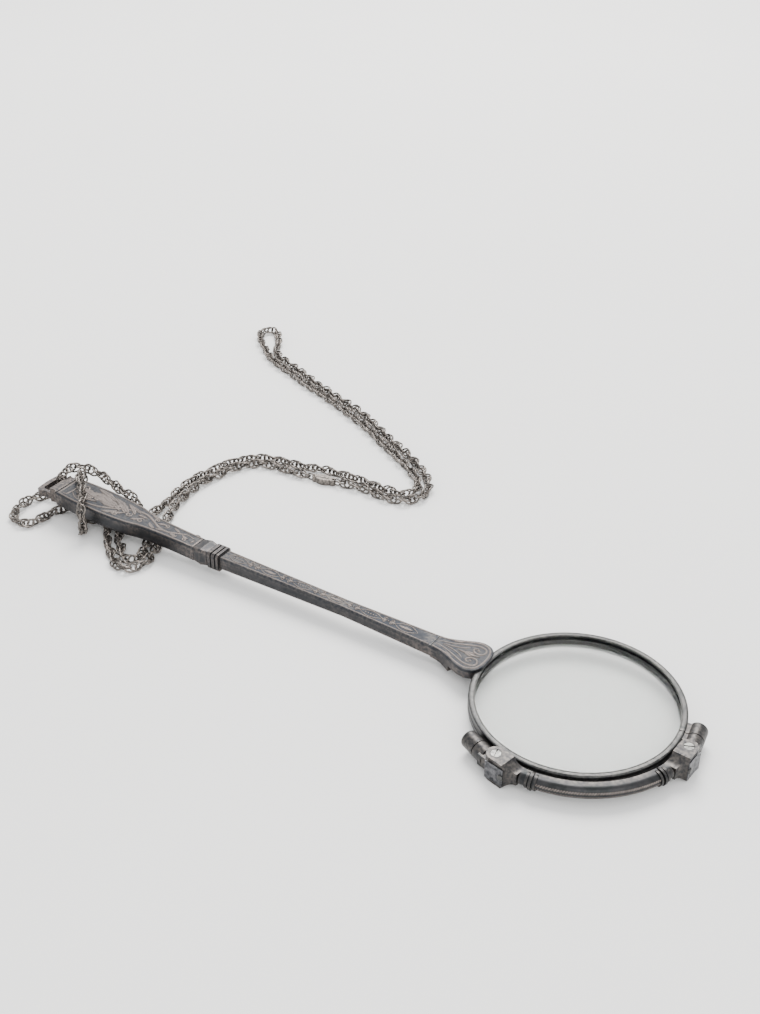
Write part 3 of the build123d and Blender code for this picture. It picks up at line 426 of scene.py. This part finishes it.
class Relief:
    """Collects raised strokes, leaves and beads, and makes one mesh of them."""

    def __init__(self):
        self.vertices = []
        self.faces = []

    def stroke(self, points, width, height=0.09, taper=True, closed=False):
        """A raised line with a rounded back through plan points, finer at its ends."""
        start = len(self.vertices)
        count = len(points)
        for i, (x, y) in enumerate(points):
            x0, y0 = points[i - 1] if i or closed else points[i]
            x1, y1 = points[(i + 1) % count] if i < count - 1 or closed else points[i]
            direction = Vector((x1 - x0, y1 - y0)).normalized()
            out = Vector((-direction.y, direction.x))
            share = i / max(count - 1, 1)
            grow = min(1, 0.35 + 3 * share, 0.35 + 3 * (1 - share)) if taper else 1
            half = width * grow / 2
            for offset, up in ((1, -SUNK), (0.72, height * 0.7), (0, height), (-0.72, height * 0.7), (-1, -SUNK)):
                self.vertices.append(on_face(x + out.x * half * offset, y + out.y * half * offset, up * grow))
        rows = count if closed else count - 1
        for i in range(rows):
            a, b = start + i * 5, start + ((i + 1) % count) * 5
            for k in range(4):
                self.faces.append((a + k, a + k + 1, b + k + 1, b + k))

    def scroll(self, x, y, radius, start_angle, turns, width, hand=1, tail=0.0):
        """A volute that winds inward to a bead, with a straight tail at its outer end if wanted."""
        points = []
        steps = max(14, int(26 * turns))
        for i in range(steps + 1):
            share = i / steps
            a = start_angle + hand * 2 * pi * turns * share
            r = radius * (1 - 0.78 * share)
            points.append((x + r * cos(a), y + r * sin(a)))
        if tail:
            x0, y0 = points[0]
            a = start_angle - hand * pi / 2
            points[:0] = [(x0 + tail * k * cos(a + 0.25 * hand * k), y0 + tail * k * sin(a + 0.25 * hand * k))
                          for k in (1.0, 0.66, 0.33)]
        self.stroke(points, width)
        self.bead(*points[-1], width * 0.72)

    def leaf(self, x, y, length, width, angle, curl=0.0, height=0.11, lobes=0):
        """A domed leaf with a sunk vein, from its base at (x, y); curl bends its tip sideways."""
        steps = 14
        start = len(self.vertices)
        for i in range(steps + 1):
            s = i / steps
            a = angle + curl * s
            bend = angle + curl * s / 2
            cx, cy = x + length * s * cos(bend), y + length * s * sin(bend)
            half = width / 2 * (sin(pi * min(1, s * 0.93 + 0.07)) ** 0.8)
            if lobes:
                half *= 0.78 + 0.22 * abs(sin(pi * lobes * s))
            nx, ny = -sin(a), cos(a)
            for offset, up in ((1, -SUNK), (0.7, height * 0.8), (0.25, height), (0, height * 0.45),
                               (-0.25, height), (-0.7, height * 0.8), (-1, -SUNK)):
                self.vertices.append(on_face(cx + nx * half * offset, cy + ny * half * offset, up))
        for i in range(steps):
            a, b = start + i * 7, start + (i + 1) * 7
            for k in range(6):
                self.faces.append((a + k, a + k + 1, b + k + 1, b + k))

    def bead(self, x, y, radius, height=0.12):
        start = len(self.vertices)
        around = 10
        for share, up in ((1.0, -SUNK), (0.8, height * 0.65), (0.4, height * 0.95)):
            for k in range(around):
                a = 2 * pi * k / around
                self.vertices.append(on_face(x + radius * share * cos(a), y + radius * share * sin(a), up))
        self.vertices.append(on_face(x, y, height))
        for row in range(2):
            for k in range(around):
                k2 = (k + 1) % around
                a, b = start + row * around, start + (row + 1) * around
                self.faces.append((a + k, a + k2, b + k2, b + k))
        top = start + 3 * around
        for k in range(around):
            self.faces.append((start + 2 * around + k, start + 2 * around + (k + 1) % around, top))

    def make(self, name):
        piece = make_object(name, self.vertices, self.faces)
        turn_faces_up(piece)
        return piece


def turn_faces_up(piece):
    """Turns every face of a relief upward."""
    mesh = piece.data
    for polygon in mesh.polygons:
        if polygon.normal.z < 0:
            polygon.flip()
    mesh.update()


def smooth_line(points, steps=8):
    """A smooth line through plan points."""
    result = []
    count = len(points)
    for i in range(count - 1):
        p0, p1, p2, p3 = (Vector(points[max(0, min(count - 1, i + k))]) for k in (-1, 0, 1, 2))
        for k in range(steps):
            t = k / steps
            q = 0.5 * ((2 * p1) + (p2 - p0) * t + (2 * p0 - 5 * p1 + 4 * p2 - p3) * t * t
                       + (3 * p1 - p0 - 3 * p2 + p3) * t * t * t)
            result.append((q.x, q.y))
    result.append(tuple(points[-1]))
    return result


# Grip: a border line, a running vine with volutes, and a large acanthus leaf towards the bail.
grip_relief = Relief()
inset = 0.42
edge = [(GRIP_X - s, half - inset) for s, half in GRIP_HALF]
edge[0] = (GRIP_X - 0.5, edge[0][1])
edge[-1] = (GRIP_X - GRIP_END + 0.6, edge[-1][1])
edge = smooth_line(edge, 6)
outline = edge + [(x, -y) for x, y in reversed(edge)]
grip_relief.stroke(outline, 0.5, 0.08, taper=False, closed=True)


def grip_at(s, t):
    return GRIP_X - s, t


vine = [grip_at(*p) for p in (
    (34.6, -1.2), (32.6, -2.5), (29.5, -2.75), (26.0, -2.1), (23.2, -0.9), (20.6, 0.4), (18.0, 1.5),
    (15.2, 1.45), (12.8, 0.5), (10.4, -0.55), (8.0, -0.75), (5.8, 0.1), (3.8, 0.85), (1.8, 0.5))]
grip_relief.stroke(smooth_line(vine), 0.72, 0.1)
for s, t, radius, start_deg, turns, hand in (
        (33.3, 1.5, 1.35, 200, 1.15, 1), (28.6, -0.2, 1.15, 250, 1.1, -1), (21.6, -2.0, 0.95, 60, 1.15, 1),
        (18.9, -0.6, 0.85, 70, 1.1, -1), (15.4, -0.9, 0.85, 40, 1.1, 1), (12.3, 1.25, 0.62, 250, 1.1, -1),
        (9.4, 0.75, 0.7, 250, 1.1, 1), (6.0, -1.0, 0.55, 60, 1.1, -1), (3.4, -0.75, 0.6, 80, 1.1, 1)):
    x, y = grip_at(s, t)
    grip_relief.scroll(x, y, radius, radians(start_deg), turns, 0.24 + 0.22 * radius, hand)
for s, t, length, width, angle, curl, lobes in (
        (31.6, 0.4, 8.4, 2.4, 12, -0.5, 4), (30.4, 2.9, 6.6, 1.25, -6, -0.25, 3), (25.4, 2.3, 7.0, 1.5, -14, -0.35, 4),
        (26.6, -0.6, 5.2, 1.35, 2, 0.55, 3), (21.4, 2.4, 4.6, 0.95, -22, -0.4, 2), (24.6, -2.9, 3.6, 0.8, 18, 0.4, 2),
        (29.8, -1.9, 3.2, 0.9, 150, 0.8, 2), (17.6, -1.6, 2.8, 0.75, 20, 0.6, 2), (14.3, 2.0, 2.6, 0.5, -8, -0.2, 0),
        (13.2, -0.4, 2.5, 0.7, -50, 0.9, 2), (10.8, -1.3, 2.4, 0.5, 10, 0.3, 0), (11.4, 0.3, 1.9, 0.6, 40, -0.8, 0),
        (7.6, 1.15, 2.3, 0.5, -12, -0.3, 0), (7.4, -0.6, 1.9, 0.6, -35, 0.8, 0), (4.6, 0.2, 1.9, 0.6, -40, 0.9, 0),
        (1.7, -0.9, 1.2, 0.4, 60, 0.5, 0), (34.4, 1.2, 5.6, 1.5, -12, 0.3, 3), (34.2, -0.6, 5.0, 1.3, 8, -0.35, 3),
        (33.0, -1.9, 5.4, 1.0, 14, -0.2, 3), (27.4, 1.1, 6.4, 1.3, -4, -0.5, 3), (23.6, 1.3, 4.6, 0.9, -16, -0.5, 2),
        (22.9, -2.5, 3.4, 0.7, 24, 0.3, 2), (17.0, 0.3, 2.6, 0.6, 16, -0.5, 0), (19.8, 2.1, 3.2, 0.6, -16, -0.2, 0)):
    x, y = grip_at(s, t)
    grip_relief.leaf(x, y, length, width * 1.35, radians(angle), curl, 0.12, lobes)
# The frame of the small panel beside the bail.
panel = [grip_at(*p) for p in (
    (36.2, 2.6), (35.2, 2.95), (34.9, 1.2), (34.8, 0), (34.9, -1.2), (35.2, -2.6), (36.2, -2.6))]
grip_relief.stroke(smooth_line(panel), 0.5, 0.09)
grip_piece = grip_relief.make("grip_engraving")
dress(grip_piece, "handle", "raised_silver")

# Shaft: two border lines, and pointed ovals, beads and paired scrolls between them.
shaft_relief = Relief()
for side in (-1, 1):
    line = []
    for k in range(55):
        x = -79.9 + k * (79.9 - 30.2) / 54
        line.append((x, side * (between([(a, w) for a, w, z in SHAFT], x) / 2 - 0.42)))
    shaft_relief.stroke(line, 0.3, 0.07, taper=False)


def pointed_oval(relief, x, half_length, half_width, width=0.27):
    """An outline pointed at both ends."""
    side_line = [(x - half_length + 2 * half_length * k / 12, half_width * sin(pi * k / 12)) for k in range(13)]
    relief.stroke(side_line, width)
    relief.stroke([(a, -b) for a, b in side_line], width)


SHAFT_MOTIF = 8.1
for n in range(6):
    x = -76.6 + n * SHAFT_MOTIF
    half = between([(a, w) for a, w, z in SHAFT], x) / 2 - 0.62
    pointed_oval(shaft_relief, x, 2.6, half * 0.92)
    if n % 2:
        shaft_relief.leaf(x - 1.5, 0, 3.0, half * 0.8, 0, 0, 0.1, 3)
    else:
        for k in range(5):
            shaft_relief.bead(x - 1.2 + 0.6 * k, 0, 0.2)
    middle = x + SHAFT_MOTIF / 2
    if middle < -33:
        for sx, hand in ((-1, 1), (1, -1)):
            for sy in (-1, 1):
                shaft_relief.scroll(middle + sx * 0.85, sy * half * 0.42, half * 0.46, radians(90 * sy + 90 * sx),
                                    1.05, 0.24, hand * sy)
        shaft_relief.bead(middle, 0, 0.2)
        for sx in (-1, 1):
            shaft_relief.leaf(middle + sx * 0.3, 0, 1.5, 0.5, 0 if sx > 0 else pi)
shaft_piece = shaft_relief.make("shaft_engraving")
dress(shaft_piece, "handle", "raised_silver")

# Palmette: its heart-shaped border, two volutes and a leaf between them.
palmette_relief = Relief()
heart = smooth_line([
    (-29.4, 1.5), (-26.3, 2.1), (-23.8, 3.2), (-21.4, 3.85), (-19.6, 3.15), (-18.9, 1.6), (-18.75, 0)])
heart = heart + [(x, -y) for x, y in reversed(heart[:-1])]
palmette_relief.stroke(heart, 0.42, 0.09, taper=False)
volute = smooth_line([
    (-29.2, 0.45), (-26.6, 1.05), (-24.2, 2.0), (-22.0, 2.85), (-20.3, 2.75), (-19.7, 1.8), (-20.3, 0.85),
    (-21.5, 0.85), (-22.1, 1.6), (-21.6, 2.1), (-21.0, 1.75)])
inner_line = smooth_line([(-28.0, 0.1), (-25.6, 0.45), (-23.9, 1.05), (-22.9, 1.75)])
for side in (-1, 1):
    palmette_relief.stroke([(x, side * y) for x, y in volute], 0.46, 0.1)
    palmette_relief.bead(-21.15, side * 1.65, 0.32)
    palmette_relief.stroke([(x, side * y) for x, y in inner_line], 0.3)
    palmette_relief.leaf(-23.0, side * 0.25, 1.7, 0.5, side * 0.35, -side * 0.5)
    palmette_relief.leaf(-26.4, side * 1.75, 1.9, 0.45, side * 0.42, 0)
palmette_relief.leaf(-24.6, 0, 4.6, 0.62, 0, 0, 0.12, 2)
palmette_piece = palmette_relief.make("palmette_engraving")
dress(palmette_piece, "handle", "raised_silver")


# ---- chased row along the lower outer side of the bridge ---------------------------------------
BRIDGE_ANGLE = -54.0
BAR_SPREAD = 28.0
BAR_MID_R = 21.3
BAR_HALF_H = 1.25
SEAM_Z = 2.6
CHASING_LEAVES = 47
CHASING_SUNK = 0.02      # the leaves' feet lie this far inside the bar
row_vertices, row_faces = [], []
for n in range(CHASING_LEAVES):
    middle_angle = radians(BRIDGE_ANGLE - BAR_SPREAD + 2 * BAR_SPREAD * n / (CHASING_LEAVES - 1))
    for slope_deg in (22, -16):
        size = 0.2 if slope_deg > 0 else 0.16
        slope = radians(slope_deg)
        normal = Vector((cos(middle_angle) * cos(slope), sin(middle_angle) * cos(slope), sin(slope)))
        tangent = Vector((-sin(middle_angle), cos(middle_angle), 0))
        upward = normal.cross(tangent)
        bar_middle = place(BAR_MID_R * cos(middle_angle), BAR_MID_R * sin(middle_angle), SEAM_Z)
        centre = bar_middle + normal * (BAR_HALF_H - CHASING_SUNK) * MM
        start = len(row_vertices)
        lean = tangent * cos(0.7) + upward * sin(0.7)
        other = normal.cross(lean)
        for share, rise in ((1.0, 0.0), (0.7, 0.05), (0.0, 0.07)):
            for k in range(8):
                a = 2 * pi * k / 8
                row_vertices.append(
                    centre + (lean * cos(a) * 1.7 + other * sin(a) * 0.8) * share * size * MM + normal * rise * MM)
        for row in range(2):
            for k in range(8):
                k2 = (k + 1) % 8
                a, b = start + row * 8, start + (row + 1) * 8
                row_faces.append((a + k, a + k2, b + k2, b + k))
bridge_row = make_object("bridge_chasing", row_vertices, row_faces)
dress(bridge_row, "bridge", "raised_silver")


# ---- turned lines on the rings ------------------------------------------------------------------
def ring_line(name, body, radius, up, wire_r):
    """A fine raised line round a ring."""
    line_vertices, line_faces = [], []
    steps = 240
    points = [place(radius * cos(2 * pi * k / steps), radius * sin(2 * pi * k / steps), up) for k in range(steps)]
    add_closed_tube(line_vertices, line_faces, points, wire_r * MM)
    dress(make_object(name, line_vertices, line_faces), body, "rim_silver")


ring_line("upper_ring_inner_line", "handle", 18.5, 3.99, 0.1)
ring_line("upper_ring_outer_line", "handle", 19.2, 3.99, 0.08)
ring_line("upper_ring_wall_line", "handle", 19.49, 3.1, 0.07)
ring_line("lower_ring_inner_line", "lower_lens_frame", 18.5, 1.21, 0.1)
ring_line("lower_ring_wall_line", "lower_lens_frame", 19.49, 1.75, 0.07)


# ---- springs: the leaf springs bent inward, the return spring given its own mesh ------------
PIVOT_R = 21.7
PIVOT_SPREAD = 49.5
LEAF_BEND_START = -1.15  # from here a leaf springs outward
# A stand-in for the way the leaves bend: they are eased inward by this share of the way along.
# It was set by trial so that they clear the hinge.
LEAF_EASE = 0.155
for side, name in ((-1, "left_leaf_spring"), (1, "right_leaf_spring")):
    a = radians(BRIDGE_ANGLE + side * PIVOT_SPREAD)
    outward = Vector((cos(a), sin(a), 0))
    forward = Vector((-sin(a), cos(a), 0)) * side
    pivot = place(PIVOT_R * cos(a), PIVOT_R * sin(a), 0)
    leaf_mesh = frame["nodes"][name].data.copy()
    for v in leaf_mesh.vertices:
        past = (v.co - pivot).dot(forward) - LEAF_BEND_START * MM
        if past > 0:
            v.co -= outward * past * LEAF_EASE
    leaf = bpy.data.objects.new(name + "_bent", leaf_mesh)
    bpy.context.scene.collection.objects.link(leaf)
    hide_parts(name)
    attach(leaf, "bridge")
    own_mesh(leaf)
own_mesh(frame["nodes"]["return_spring"])


# ---- table, lights and world ------------------------------------------------------------------
FLOOR_HALF = 4.0
floor = make_object(
    "floor", [(-FLOOR_HALF, -FLOOR_HALF, 0), (FLOOR_HALF, -FLOOR_HALF, 0), (FLOOR_HALF, FLOOR_HALF, 0),
              (-FLOOR_HALF, FLOOR_HALF, 0)], [(0, 1, 2, 3)], smooth=False)
floor_material, floor_tree, floor_shader = new_material("floor")
floor_tone = ramp(floor_tree, noise(floor_tree, 6, 3, 0.5), [(0.3, (0.84, 0.84, 0.835)), (0.7, (0.87, 0.87, 0.865))])
floor_tree.links.new(floor_tone, floor_shader.inputs["Base Color"])
floor_shader.inputs["Roughness"].default_value = 0.75
floor_shader.inputs["Specular IOR Level"].default_value = 0.2
floor.data.materials.append(floor_material)

world = bpy.data.worlds.new("studio")
bpy.context.scene.world = world
world.use_nodes = True
world.node_tree.nodes["Background"].inputs["Color"].default_value = (0.97, 0.975, 0.98, 1)
world.node_tree.nodes["Background"].inputs["Strength"].default_value = 1.5


def area_light(name, location, target, size, power, colour):
    data = bpy.data.lights.new(name, "AREA")
    data.shape = "DISK"
    data.size = size
    data.energy = power
    data.color = colour
    light = bpy.data.objects.new(name, data)
    bpy.context.scene.collection.objects.link(light)
    light.location = location
    light.rotation_euler = (Vector(target) - Vector(location)).to_track_quat("-Z", "Y").to_euler()


area_light("key", (-0.25, 0.55, 0.75), (0, 0.02, 0), 0.6, 14.5, (1.0, 0.98, 0.95))
area_light("fill", (0.55, -0.45, 0.6), (0, 0.02, 0), 0.7, 4.0, (1.0, 0.99, 0.97))
